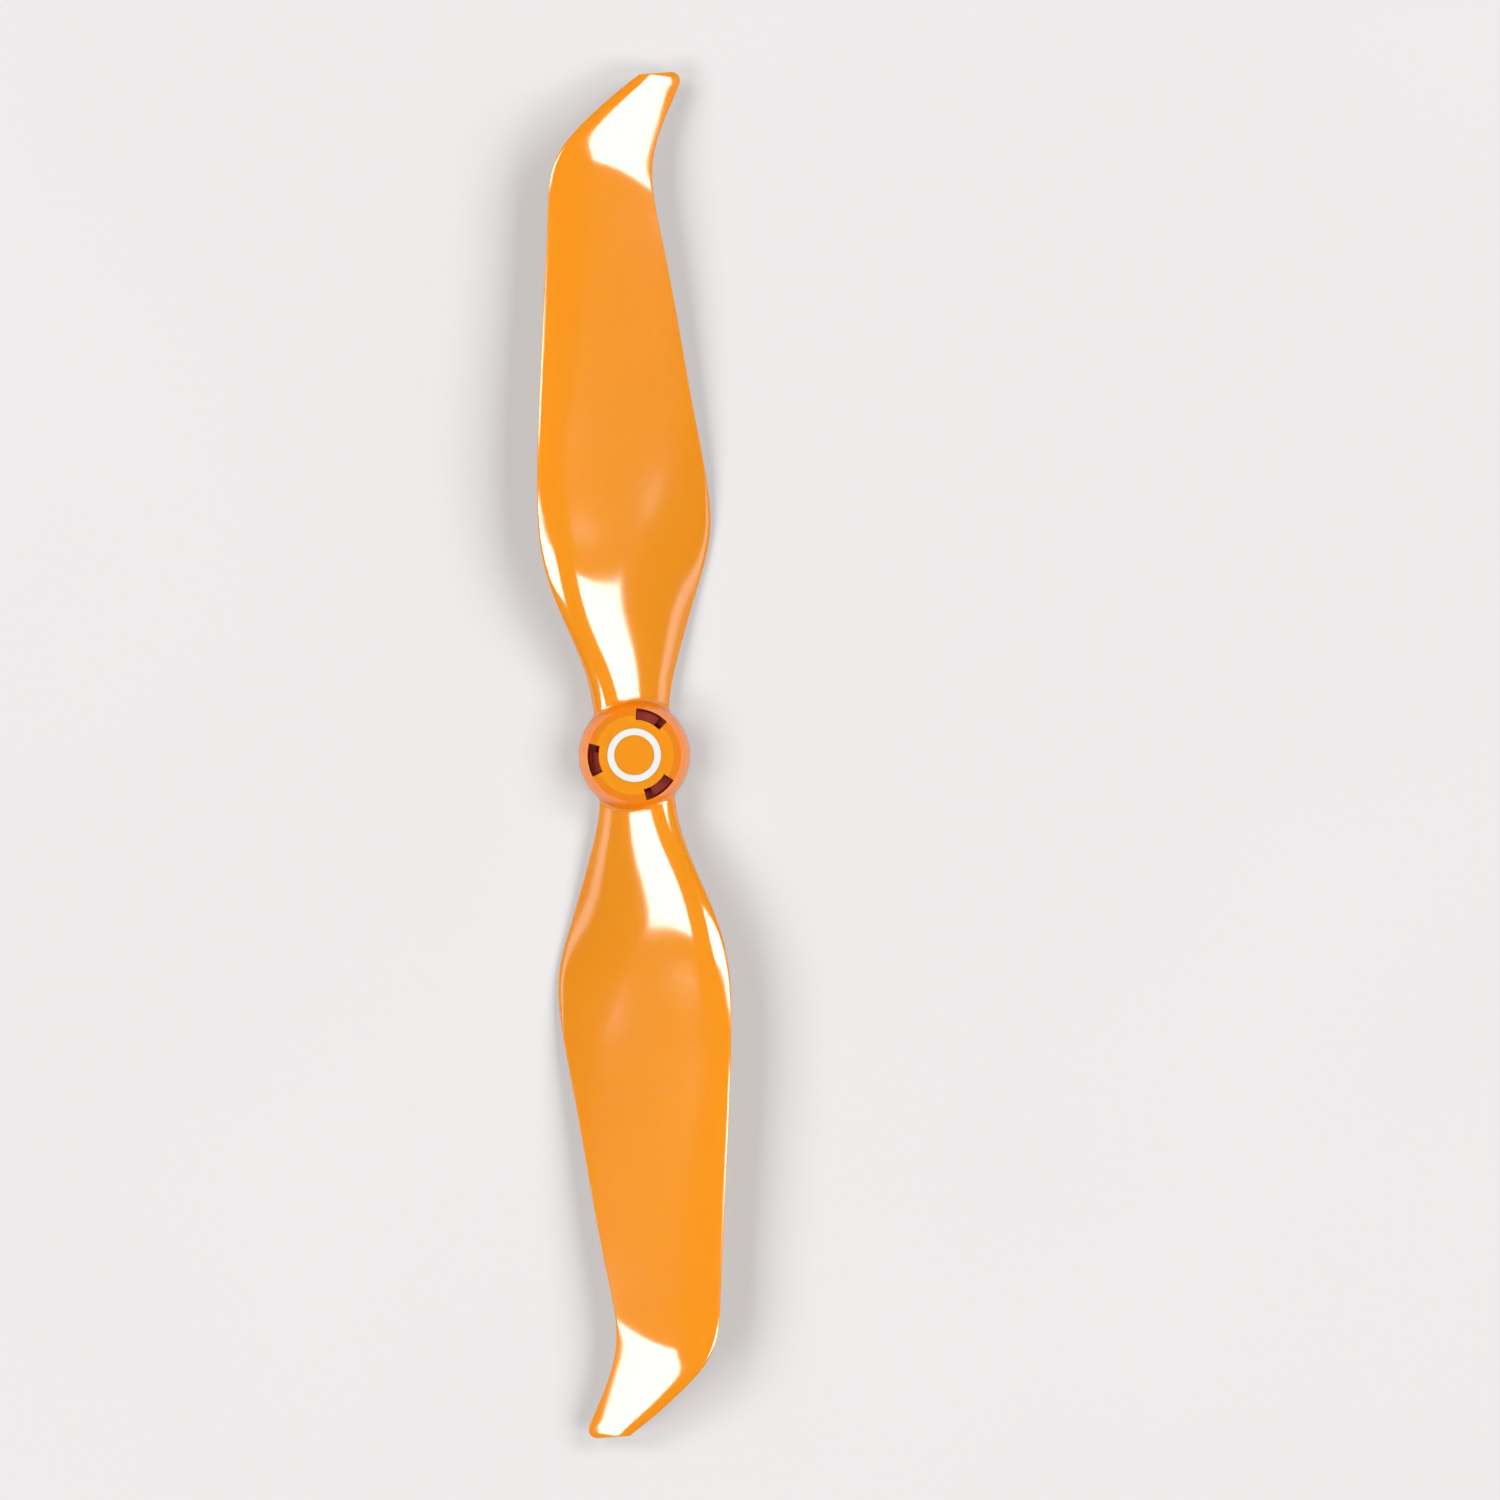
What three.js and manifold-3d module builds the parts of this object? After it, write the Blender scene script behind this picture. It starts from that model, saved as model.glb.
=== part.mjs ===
// Two-blade quick-release propeller with the sprung claw plate that its hub locks on to.
//
// Units are millimetres. +Z is the spin axis and points up, away from the motor. z = 0 is the
// face of the claw plate that rests on the motor. The blades lie along Y, and the blade on the
// +Y side has its leading edge towards -X, so the propeller turns counter-clockwise from above.
// The airscrew (hub and both blades) is one moulding. Angles are degrees, counter-clockwise
// from +X.
import * as THREE from "three";
import { mergeVertices } from "three/addons/utils/BufferGeometryUtils.js";
import Module from "manifold-3d";

// ---------------------------------------------------------------- driving dimensions

const TIP_RADIUS = 119.35; // 9.4 in across the tips

// Blade shape. Each list holds [distance from the spin axis, value].
const BLADE_START = 6.5; // the loft begins inside the hub wall
const LEADING_EDGE = [
  [6.5, -7],
  [10, -7.5],
  [18, -9.95],
  [28, -14.2],
  [36, -16.35],
  [46, -16.95],
  [70, -16.25],
  [96, -15.05],
  [102, -14.4],
  [106, -12.6],
  [112, -7.25],
  [119.35, 0.85],
];
const TRAILING_EDGE = [
  [6.5, 6],
  [10, 6.2],
  [18, 7.85],
  [30, 11.25],
  [36.5, 12.95],
  [41, 13.35],
  [46, 12.95],
  [60, 10.45],
  [90, 4.9],
  [100, 3.2],
  [104, 3.32],
  [110, 4.92],
  [116, 7.4],
  [119.35, 8.85],
];
const TWIST_DEG = [
  [6.5, 9],
  [12, 14],
  [20, 21.5],
  [31, 25],
  [42, 22.3],
  [60, 18],
  [80, 14.4],
  [100, 11.8],
  [119.35, 10],
];
const THICKNESS = [
  [6.5, 5],
  [12, 4.6],
  [20, 3.6],
  [30, 2.8],
  [40, 2.2],
  [60, 1.6],
  [100, 1.1],
  [119.35, 0.9],
];
const AXIS_HEIGHT = [
  [6.5, 4.3],
  [12, 4.85],
  [25, 6.15],
  [32, 6.6],
  [40, 6.9],
  [50, 7.38],
  [60, 7.74],
  [80, 8.4],
  [96, 8.9],
  [119.35, 9.6],
];
// How far the front and the back edge hang below the plain section, and how far in that reaches.
const NOSE_DROOP = [
  [6.5, 0],
  [16, 0],
  [22, 0.4],
  [27, 1],
  [32, 1.5],
  [37, 1.4],
  [46, 0.4],
  [60, 0],
  [90, -0.1],
  [104, -0.3],
  [119.35, -0.2],
];
const NOSE_REACH = 3.1;
const TAIL_DROOP = [
  [6.5, 0.3],
  [12, 0.3],
  [20, 0.28],
  [27, 0.22],
  [33, 0.06],
  [38, 0],
  [50, 0],
  [70, 0],
  [104, 0],
  [110, 0.03],
  [115, 0.12],
  [119.35, 0.15],
];
const TAIL_REACH = 2.5;
// A sharper droop right at the back edge, where the blade is widest.
const TAIL_LIP = [
  [6.5, 0],
  [20, 0],
  [27, 0.01],
  [32, 0.05],
  [36, 0.1],
  [41, 0.14],
  [45, 0.15],
  [49, 0.05],
  [54, 0],
  [62, 0],
  [119.35, 0],
];
const TAIL_LIP_REACH = 0.7;
const CAMBER = 0.045; // rise of the mid-line over the chord
const TRAILING_THICKNESS = 0.5;
const TIP_CORNER_RADIUS = 2.5; // plan radius at the trailing corner of the tip
const TIP_SKEW = 0.45; // how much nearer the hub the leading corner of the tip lies
const TIP_SKEW_START = 112;
const TIP_BEND_DEG = 62; // direction in which the swept tip bends down, from +X
const TIP_BEND_AT = 89.4; // distance of the bend from the spin axis, along that direction
const TIP_BEND_SLOPE = 0.18;
const TIP_BEND_SOFTNESS = 0.9;

// Hub shell.
const HUB_BOTTOM = 1.0;
const HUB_TOP = 11.0;
const HUB_RADIUS = 9.8;
const HUB_WAIST = 5.0; // the dome starts here
const HUB_DOME_WIDTH = 3.2;
const HUB_DOME_HEIGHT = 5.5;
const HUB_CHAMFER_RADIUS = 8.18; // where the dome passes into the chamfer below the flat top
const HUB_FLAT_RADIUS = 6.85;
const CAVITY_MOUTH_RADIUS = 8.6;
const CAVITY_TOP_RADIUS = 8.15;
const CAVITY_TOP = 9.0;
const CAVITY_CORNER = 0.9;
const BOSS_RADIUS = 5.2;
const BOSS_BORE = 3.8;
const BOSS_BOTTOM = 4.8;

// Bayonet. Three of everything, set by the middle angle of each slot in the hub top.
const SLOT_ANGLES = [66.5, 186.5, 306.5];
const SLOT_HALF_WIDTH_DEG = 21.1;
const SLOT_INNER = 6.19;
const SLOT_OUTER = 8.18;
const LEDGE_INNER = 6.6;
const LEDGE_BOTTOM = 4.8;
const LEDGE_TOP = 5.4;
const HUMP_HEIGHT = 0.3;
const HUMP_WIDTH_DEG = 9;
const STOP_WIDTH_DEG = 6;

// Marker ring, let into the hub top.
const MARKER_INNER = 3.49;
const MARKER_OUTER = 4.68;
const MARKER_DEPTH = 0.8;
const MARKER_GAP = 0.1;

// Claw plate.
const PLATE_RADIUS = 8.2;
const PLATE_THICKNESS = 1.5;
const PLATE_CHAMFER = 0.3;
const PLATE_BORE = 1.6;
const SPIGOT_RADIUS = 3.0;
const SPIGOT_TOP = 7.0;
const CLAW_INNER = 5.6;
const CLAW_POST_OUTER = 6.3;
const CLAW_HOOK_OUTER = 7.9;
const CLAW_HOOK_BOTTOM = 6.0;
const CLAW_TOP = 7.4;
const CLAW_CHAMFER = 0.4;
const CLAW_FROM_DEG = -10.5; // both from the slot's middle, at the locked position
const CLAW_TO_DEG = 19.5;
const SCREW_CIRCLE = 5.4;
const SCREW_OFFSET_DEG = 45;
const SCREW_HOLE_RADIUS = 1.1;
const SCREW_HEAD_RADIUS = 1.8;
const SCREW_HEAD_DEPTH = 0.9;

// Pressure plate, its three springs and the ring that keeps it on the spigot.
const PRESSURE_BOTTOM = 3.4;
const PRESSURE_TOP = 4.4;
const PRESSURE_RADIUS = 8.0;
const PRESSURE_CHAMFER = 0.25;
const PRESSURE_BORE = 3.3;
const DRIVER_HOLE_RADIUS = 1.3;
const SPRING_CIRCLE = 6.2;
const SPRING_OFFSET_DEG = 86;
const SPRING_COIL_RADIUS = 1.0;
const SPRING_WIRE_RADIUS = 0.18;
const SPRING_TURNS = 3.5;
const SPRING_POCKET_RADIUS = 1.5;
const SPRING_POCKET_FLOOR = 0.6;
const CLEARANCE = 0.3;
const RETAINER_INNER = 2.75;
const RETAINER_OUTER = 3.55;
const RETAINER_BOTTOM = 4.7;
const RETAINER_THICKNESS = 0.4;
const RETAINER_OPENING_DEG = 40;
const RETAINER_GROOVE_RADIUS = 2.6;
const RETAINER_GROOVE_PLAY = 0.1;

// Mesh fineness.
const ROUND_SEGMENTS = 48;
const HOLE_SEGMENTS = 20;
const ARC_STEP_DEG = 7.5;
const DOME_STEPS = 6;
const CHORD_STEPS = 12;
const SPRING_STEPS_PER_TURN = 10;
const WIRE_SIDES = 6;

const BEYOND = 0.5; // how far a cutter runs past the face that it cuts
const SUNK = 0.2; // how far a solid runs into the one that it joins

// ---------------------------------------------------------------- solids

const wasm = await Module();
wasm.setup();

const radians = THREE.MathUtils.degToRad;

function solidFrom(geometry) {
  const bare = geometry.index ? geometry.toNonIndexed() : geometry.clone();
  bare.deleteAttribute("normal");
  bare.deleteAttribute("uv");
  const merged = mergeVertices(bare, 1e-4);
  return new wasm.Manifold(
    new wasm.Mesh({
      numProp: 3,
      vertProperties: merged.attributes.position.array,
      triVerts: new Uint32Array(merged.index.array),
    }),
  );
}

function geometryFrom(solid) {
  const mesh = solid.getMesh();
  const geometry = new THREE.BufferGeometry();
  geometry.setAttribute("position", new THREE.BufferAttribute(mesh.vertProperties, 3));
  geometry.setIndex(new THREE.BufferAttribute(mesh.triVerts, 1));
  geometry.computeVertexNormals();
  return geometry;
}

// A solid of revolution about Z. The profile is [radius, height] points that run
// counter-clockwise round the material, with the radius to the right and the height up.
function turned(profile) {
  const points = profile.map(([radius, height]) => new THREE.Vector2(radius, height));
  if (profile[0][0] > 0) points.push(points[0].clone());
  return solidFrom(new THREE.LatheGeometry(points, ROUND_SEGMENTS).rotateX(Math.PI / 2));
}

// A block between two radii, two heights and two angles.
function arcBlock([inner, outer], [bottom, top], [fromDeg, toDeg]) {
  const outline = new THREE.Shape();
  outline.absarc(0, 0, outer, radians(fromDeg), radians(toDeg), false);
  outline.absarc(0, 0, inner, radians(toDeg), radians(fromDeg), true);
  // An arc gets twice its curveSegments.
  const curveSegments = Math.ceil((toDeg - fromDeg) / ARC_STEP_DEG / 2);
  const options = { depth: top - bottom, bevelEnabled: false, curveSegments };
  return solidFrom(new THREE.ExtrudeGeometry(outline, options).translate(0, 0, bottom));
}

// An upright cylinder, or a cone where the two radii differ.
function upright(radius, [bottom, top], at, topRadius = radius) {
  const height = top - bottom;
  const cylinder = new THREE.CylinderGeometry(topRadius, radius, height, HOLE_SEGMENTS);
  return solidFrom(cylinder.rotateX(Math.PI / 2).translate(at.x, at.y, bottom + height / 2));
}

function onCircle(radius, angleDeg) {
  return new THREE.Vector2(
    radius * Math.cos(radians(angleDeg)),
    radius * Math.sin(radians(angleDeg)),
  );
}

// ---------------------------------------------------------------- blade

// A smooth curve through [position, value] points, read at one position.
function smoothValue(points, position) {
  const last = points.length - 2;
  let i = points.findIndex((_, k) => k > 0 && position <= points[k][0]) - 1;
  if (i < 0) i = last;
  const slope = (k) => {
    const before = points[Math.max(k - 1, 0)];
    const after = points[Math.min(k + 1, points.length - 1)];
    return (after[1] - before[1]) / (after[0] - before[0]);
  };
  const [x0, y0] = points[i];
  const [x1, y1] = points[i + 1];
  const span = x1 - x0;
  const t = (position - x0) / span;
  const rise = (y1 - y0) * (3 * t * t - 2 * t * t * t);
  const leave = slope(i) * span * (t * t * t - 2 * t * t + t);
  const arrive = slope(i + 1) * span * (t * t * t - t * t);
  return y0 + rise + leave + arrive;
}

// How far the swept tip has bent down at a point of the plan.
function tipDrop(x, y) {
  const along = x * Math.cos(radians(TIP_BEND_DEG)) + y * Math.sin(radians(TIP_BEND_DEG));
  const past = (along - TIP_BEND_AT) / TIP_BEND_SOFTNESS;
  return TIP_BEND_SLOPE * TIP_BEND_SOFTNESS * Math.log1p(Math.exp(past));
}

// Falls from 1 at an edge to nearly 0 at about twice the reach from it.
function fading(distance, reach) {
  return Math.exp(-((distance / reach) ** 1.5));
}

// Thickness of an airfoil at a fraction of its chord, with its greatest value 1.
function airfoilThickness(s) {
  return 2.969 * Math.sqrt(s) - 1.26 * s - 3.516 * s ** 2 + 2.843 * s ** 3 - 1.036 * s ** 4;
}

// One closed section of the +Y blade: the upper side from the leading edge to the trailing
// edge, then the lower side back.
function bladeSection(y) {
  const lead = smoothValue(LEADING_EDGE, y);
  const intoCorner = Math.max(0, y - (TIP_RADIUS - TIP_CORNER_RADIUS));
  const corner = TIP_CORNER_RADIUS - Math.sqrt(TIP_CORNER_RADIUS ** 2 - intoCorner ** 2);
  const chord = smoothValue(TRAILING_EDGE, y) - corner - lead;
  const slope = Math.tan(radians(smoothValue(TWIST_DEG, y)));
  const thickness = smoothValue(THICKNESS, y);
  const noseDroop = smoothValue(NOSE_DROOP, y);
  const tailDroop = smoothValue(TAIL_DROOP, y);
  const tailLip = smoothValue(TAIL_LIP, y);
  const intoSkew = Math.max(0, y - TIP_SKEW_START) / (TIP_RADIUS - TIP_SKEW_START);
  const skew = TIP_SKEW * intoSkew ** 2;
  const side = (s, sign) => {
    const x = lead + s * chord;
    const middle = smoothValue(AXIS_HEIGHT, y) - x * slope - tipDrop(x, y);
    const camber = CAMBER * chord * 4 * s * (1 - s);
    const nose = noseDroop * fading(s * chord, NOSE_REACH);
    const tail = tailDroop * fading((1 - s) * chord, TAIL_REACH);
    const lip = tailLip * fading((1 - s) * chord, TAIL_LIP_REACH);
    const half = (thickness * airfoilThickness(s) + TRAILING_THICKNESS * s) / 2;
    const height = middle + camber - nose - tail - lip + sign * half;
    return new THREE.Vector3(x, y - skew * (1 - s), height);
  };
  const fractions = Array.from(
    { length: CHORD_STEPS + 1 },
    (_, i) => (1 - Math.cos((Math.PI * i) / CHORD_STEPS)) / 2,
  );
  const upper = fractions.map((s) => side(s, 1));
  const lower = fractions.slice(1).map((s) => side(s, -1));
  return [...upper, ...lower.reverse()];
}

// Distances from the spin axis at which the blade's sections stand: closer together where the
// outline turns.
function bladeStations() {
  const runs = [
    [BLADE_START, 46, 12],
    [46, 96, 7],
    [96, 116, 8],
    [116, TIP_RADIUS - 0.01, 5],
  ];
  const stations = [BLADE_START];
  for (const [from, to, count] of runs) {
    for (let i = 1; i <= count; i++) stations.push(from + ((to - from) * i) / count);
  }
  return stations;
}

function blade() {
  const sections = bladeStations().map(bladeSection);
  const size = sections[0].length;
  const vertices = sections.flat();
  const faces = [];
  for (let k = 0; k + 1 < sections.length; k++) {
    for (let i = 0; i < size; i++) {
      const a = k * size + i;
      const b = k * size + ((i + 1) % size);
      faces.push([a, b, a + size], [b, b + size, a + size]);
    }
  }
  // The two ends are closed by strips between the upper and the lower side.
  const last = (sections.length - 1) * size;
  for (let i = 0; i < CHORD_STEPS; i++) {
    const above = [i, i + 1];
    const below = [(size - i) % size, size - i - 1];
    faces.push([above[0], below[1], above[1]]);
    faces.push([last + above[0], last + above[1], last + below[1]]);
    if (i === 0) continue;
    faces.push([above[0], below[0], below[1]]);
    faces.push([last + above[0], last + below[1], last + below[0]]);
  }
  const geometry = new THREE.BufferGeometry().setFromPoints(vertices);
  geometry.setIndex(faces.flat());
  return solidFrom(geometry);
}

// ---------------------------------------------------------------- hub

// The wall rises into part of an ellipse, which ends in a chamfer round the flat top.
function hubOutside() {
  const centre = HUB_RADIUS - HUB_DOME_WIDTH;
  const end = Math.acos((HUB_CHAMFER_RADIUS - centre) / HUB_DOME_WIDTH);
  const dome = Array.from({ length: DOME_STEPS + 1 }, (_, i) => {
    const angle = (end * i) / DOME_STEPS;
    const radius = centre + HUB_DOME_WIDTH * Math.cos(angle);
    return [radius, HUB_WAIST + HUB_DOME_HEIGHT * Math.sin(angle)];
  });
  const foot = [[0, HUB_BOTTOM], [HUB_RADIUS, HUB_BOTTOM]];
  return turned([...foot, ...dome, [HUB_FLAT_RADIUS, HUB_TOP], [0, HUB_TOP]]);
}

function hubCavity() {
  return turned([
    [0, HUB_BOTTOM - BEYOND],
    [CAVITY_MOUTH_RADIUS, HUB_BOTTOM - BEYOND],
    [CAVITY_TOP_RADIUS, CAVITY_TOP - CAVITY_CORNER],
    [CAVITY_TOP_RADIUS - CAVITY_CORNER / 2, CAVITY_TOP],
    [0, CAVITY_TOP],
  ]);
}

function hubBoss() {
  return turned([
    [BOSS_BORE, BOSS_BOTTOM],
    [BOSS_RADIUS, BOSS_BOTTOM],
    [BOSS_RADIUS, CAVITY_TOP + BEYOND],
    [BOSS_BORE, CAVITY_TOP + BEYOND],
  ]);
}

// The ledge that a claw hooks over, the hump that the claw snaps past, and the wall that
// stops it. Their outer ends are sunk in the hub wall.
function bayonetLedge(slotDeg) {
  const radii = [LEDGE_INNER, CAVITY_MOUTH_RADIUS + SUNK];
  const from = slotDeg - SLOT_HALF_WIDTH_DEG;
  const stop = slotDeg + SLOT_HALF_WIDTH_DEG;
  const ledge = arcBlock(radii, [LEDGE_BOTTOM, LEDGE_TOP], [from, stop + STOP_WIDTH_DEG]);
  const humpHeights = [LEDGE_TOP - SUNK, LEDGE_TOP + HUMP_HEIGHT];
  const hump = arcBlock(radii, humpHeights, [from, from + HUMP_WIDTH_DEG]);
  const wallHeights = [LEDGE_TOP - SUNK, CAVITY_TOP + SUNK];
  const wallRadii = [LEDGE_INNER, CAVITY_TOP_RADIUS + SUNK];
  const wall = arcBlock(wallRadii, wallHeights, [stop, stop + STOP_WIDTH_DEG]);
  return ledge.add(hump).add(wall);
}

function hubSlot(slotDeg) {
  return arcBlock(
    [SLOT_INNER, SLOT_OUTER],
    [CAVITY_TOP - BEYOND, HUB_TOP + BEYOND],
    [slotDeg - SLOT_HALF_WIDTH_DEG, slotDeg + SLOT_HALF_WIDTH_DEG],
  );
}

function markerGroove() {
  const inner = MARKER_INNER - MARKER_GAP;
  const outer = MARKER_OUTER + MARKER_GAP;
  const floor = HUB_TOP - MARKER_DEPTH - MARKER_GAP;
  return turned([
    [inner, floor],
    [outer, floor],
    [outer, HUB_TOP + BEYOND],
    [inner, HUB_TOP + BEYOND],
  ]);
}

function airscrew() {
  const oneBlade = blade();
  const otherBlade = oneBlade.rotate([0, 0, 180]);
  let solid = hubOutside().add(oneBlade).add(otherBlade).subtract(hubCavity()).add(hubBoss());
  for (const slotDeg of SLOT_ANGLES) {
    solid = solid.add(bayonetLedge(slotDeg)).subtract(hubSlot(slotDeg));
  }
  return solid.subtract(markerGroove());
}

function markerRing() {
  return turned([
    [MARKER_INNER, HUB_TOP - MARKER_DEPTH],
    [MARKER_OUTER, HUB_TOP - MARKER_DEPTH],
    [MARKER_OUTER, HUB_TOP],
    [MARKER_INNER, HUB_TOP],
  ]);
}

// ---------------------------------------------------------------- quick-release mount

function plateWithSpigot() {
  const grooveBottom = RETAINER_BOTTOM - RETAINER_GROOVE_PLAY;
  const grooveTop = RETAINER_BOTTOM + RETAINER_THICKNESS + RETAINER_GROOVE_PLAY;
  return turned([
    [PLATE_BORE, 0],
    [PLATE_RADIUS - PLATE_CHAMFER, 0],
    [PLATE_RADIUS, PLATE_CHAMFER],
    [PLATE_RADIUS, PLATE_THICKNESS],
    [SPIGOT_RADIUS, PLATE_THICKNESS],
    [SPIGOT_RADIUS, grooveBottom],
    [RETAINER_GROOVE_RADIUS, grooveBottom],
    [RETAINER_GROOVE_RADIUS, grooveTop],
    [SPIGOT_RADIUS, grooveTop],
    [SPIGOT_RADIUS, SPIGOT_TOP - CLAW_CHAMFER],
    [SPIGOT_RADIUS - CLAW_CHAMFER, SPIGOT_TOP],
    [PLATE_BORE, SPIGOT_TOP],
  ]);
}

// All the claws as one ring of their section, to be cut into three.
function clawRing() {
  return turned([
    [CLAW_INNER, PLATE_THICKNESS - SUNK],
    [CLAW_POST_OUTER, PLATE_THICKNESS - SUNK],
    [CLAW_POST_OUTER, CLAW_HOOK_BOTTOM],
    [CLAW_HOOK_OUTER, CLAW_HOOK_BOTTOM],
    [CLAW_HOOK_OUTER, CLAW_TOP - CLAW_CHAMFER],
    [CLAW_HOOK_OUTER - CLAW_CHAMFER, CLAW_TOP],
    [CLAW_INNER, CLAW_TOP],
  ]);
}

function claw(slotDeg) {
  const angles = [slotDeg + CLAW_FROM_DEG, slotDeg + CLAW_TO_DEG];
  const radii = [CLAW_INNER - BEYOND, CLAW_HOOK_OUTER + BEYOND];
  return clawRing().intersect(arcBlock(radii, [0, CLAW_TOP + BEYOND], angles));
}

function screwHole(slotDeg) {
  const at = onCircle(SCREW_CIRCLE, slotDeg + SCREW_OFFSET_DEG);
  const seat = [PLATE_THICKNESS - SCREW_HEAD_DEPTH, PLATE_THICKNESS];
  const hole = upright(SCREW_HOLE_RADIUS, [-BEYOND, PLATE_THICKNESS + BEYOND], at);
  return hole.add(upright(SCREW_HOLE_RADIUS, seat, at, SCREW_HEAD_RADIUS));
}

function springPocket(slotDeg) {
  const at = onCircle(SPRING_CIRCLE, slotDeg + SPRING_OFFSET_DEG);
  return upright(SPRING_POCKET_RADIUS, [SPRING_POCKET_FLOOR, PLATE_THICKNESS + BEYOND], at);
}

function clawPlate() {
  let solid = plateWithSpigot();
  for (const slotDeg of SLOT_ANGLES) {
    solid = solid.add(claw(slotDeg)).subtract(screwHole(slotDeg)).subtract(springPocket(slotDeg));
  }
  return solid;
}

// A disc with a notch for each claw post and a driver hole over each screw.
function pressurePlate() {
  let solid = turned([
    [PRESSURE_BORE, PRESSURE_BOTTOM],
    [PRESSURE_RADIUS, PRESSURE_BOTTOM],
    [PRESSURE_RADIUS, PRESSURE_TOP - PRESSURE_CHAMFER],
    [PRESSURE_RADIUS - PRESSURE_CHAMFER, PRESSURE_TOP],
    [PRESSURE_BORE, PRESSURE_TOP],
  ]);
  const through = [PRESSURE_BOTTOM - BEYOND, PRESSURE_TOP + BEYOND];
  const side = THREE.MathUtils.radToDeg(CLEARANCE / CLAW_INNER);
  for (const slotDeg of SLOT_ANGLES) {
    const angles = [slotDeg + CLAW_FROM_DEG - side, slotDeg + CLAW_TO_DEG + side];
    const radii = [CLAW_INNER - CLEARANCE, PRESSURE_RADIUS + BEYOND];
    const notch = arcBlock(radii, through, angles);
    const driver = onCircle(SCREW_CIRCLE, slotDeg + SCREW_OFFSET_DEG);
    solid = solid.subtract(notch).subtract(upright(DRIVER_HOLE_RADIUS, through, driver));
  }
  return solid;
}

function retainingRing() {
  const opening = RETAINER_OPENING_DEG / 2;
  return arcBlock(
    [RETAINER_INNER, RETAINER_OUTER],
    [RETAINER_BOTTOM, RETAINER_BOTTOM + RETAINER_THICKNESS],
    [opening, 360 - opening],
  );
}

class Helix extends THREE.Curve {
  constructor(radius, turns, bottom, top) {
    super();
    Object.assign(this, { radius, turns, bottom, top });
  }

  getPoint(t, target = new THREE.Vector3()) {
    const angle = 2 * Math.PI * this.turns * t;
    const height = this.bottom + (this.top - this.bottom) * t;
    return target.set(this.radius * Math.cos(angle), this.radius * Math.sin(angle), height);
  }
}

function springGeometry() {
  const bottom = SPRING_POCKET_FLOOR + CLEARANCE + SPRING_WIRE_RADIUS;
  const top = PRESSURE_BOTTOM - CLEARANCE - SPRING_WIRE_RADIUS;
  const wire = new THREE.Shape().absarc(0, 0, SPRING_WIRE_RADIUS, 0, 2 * Math.PI, false);
  return new THREE.ExtrudeGeometry(wire, {
    steps: Math.round(SPRING_TURNS * SPRING_STEPS_PER_TURN),
    curveSegments: WIRE_SIDES / 2,
    extrudePath: new Helix(SPRING_COIL_RADIUS, SPRING_TURNS, bottom, top),
  });
}

// ---------------------------------------------------------------- materials and assembly

const orangeNylon = new THREE.MeshStandardMaterial({ color: 0xf79d2f, roughness: 0.2 });
const whitePlastic = new THREE.MeshStandardMaterial({ color: 0xf4eeec, roughness: 0.35 });
const redMetal = new THREE.MeshStandardMaterial({
  color: 0x6e2a20,
  roughness: 0.45,
  metalness: 0.6,
});
const redAcetal = new THREE.MeshStandardMaterial({ color: 0x8a1a0c, roughness: 0.5 });
const springSteel = new THREE.MeshStandardMaterial({
  color: 0xb8b6b0,
  roughness: 0.3,
  metalness: 1,
});

function named(name, geometry, material) {
  const mesh = new THREE.Mesh(geometry, material);
  mesh.name = name;
  return mesh;
}

const propeller = new THREE.Group();
propeller.add(named("airscrew", geometryFrom(airscrew()), orangeNylon));
propeller.add(named("marker_ring", geometryFrom(markerRing()), whitePlastic));

const mount = new THREE.Group();
mount.add(named("claw_plate", geometryFrom(clawPlate()), redMetal));
mount.add(named("pressure_plate", geometryFrom(pressurePlate()), redAcetal));
mount.add(named("retaining_ring", geometryFrom(retainingRing()), springSteel));
SLOT_ANGLES.forEach((slotDeg, i) => {
  const spring = named(`spring_${i + 1}`, springGeometry(), springSteel);
  const at = onCircle(SPRING_CIRCLE, slotDeg + SPRING_OFFSET_DEG);
  spring.position.set(at.x, at.y, 0);
  mount.add(spring);
});

const assembly = new THREE.Group();
assembly.add(propeller, mount);

export default assembly;
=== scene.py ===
"""Looks of the quick-release drone propeller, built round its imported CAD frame.

Shapes are worked out in millimetres, in the CAD model's frame, and become metres where a mesh is
made. The airscrew and each small part get a fine mesh that stands for their CAD node.
"""

import math

import bmesh
import bpy
import numpy as np
from mathutils import Matrix, Vector


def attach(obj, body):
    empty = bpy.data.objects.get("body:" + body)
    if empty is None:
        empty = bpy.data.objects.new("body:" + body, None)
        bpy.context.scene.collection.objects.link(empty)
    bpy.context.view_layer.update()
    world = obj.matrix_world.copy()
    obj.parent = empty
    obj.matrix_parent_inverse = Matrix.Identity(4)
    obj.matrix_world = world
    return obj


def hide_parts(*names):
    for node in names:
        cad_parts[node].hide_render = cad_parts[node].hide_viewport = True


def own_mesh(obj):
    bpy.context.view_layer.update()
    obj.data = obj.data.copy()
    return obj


MM = 0.001

# ---------------------------------------------------------------- the propeller's dimensions

TIP_RADIUS = 119.35

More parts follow.
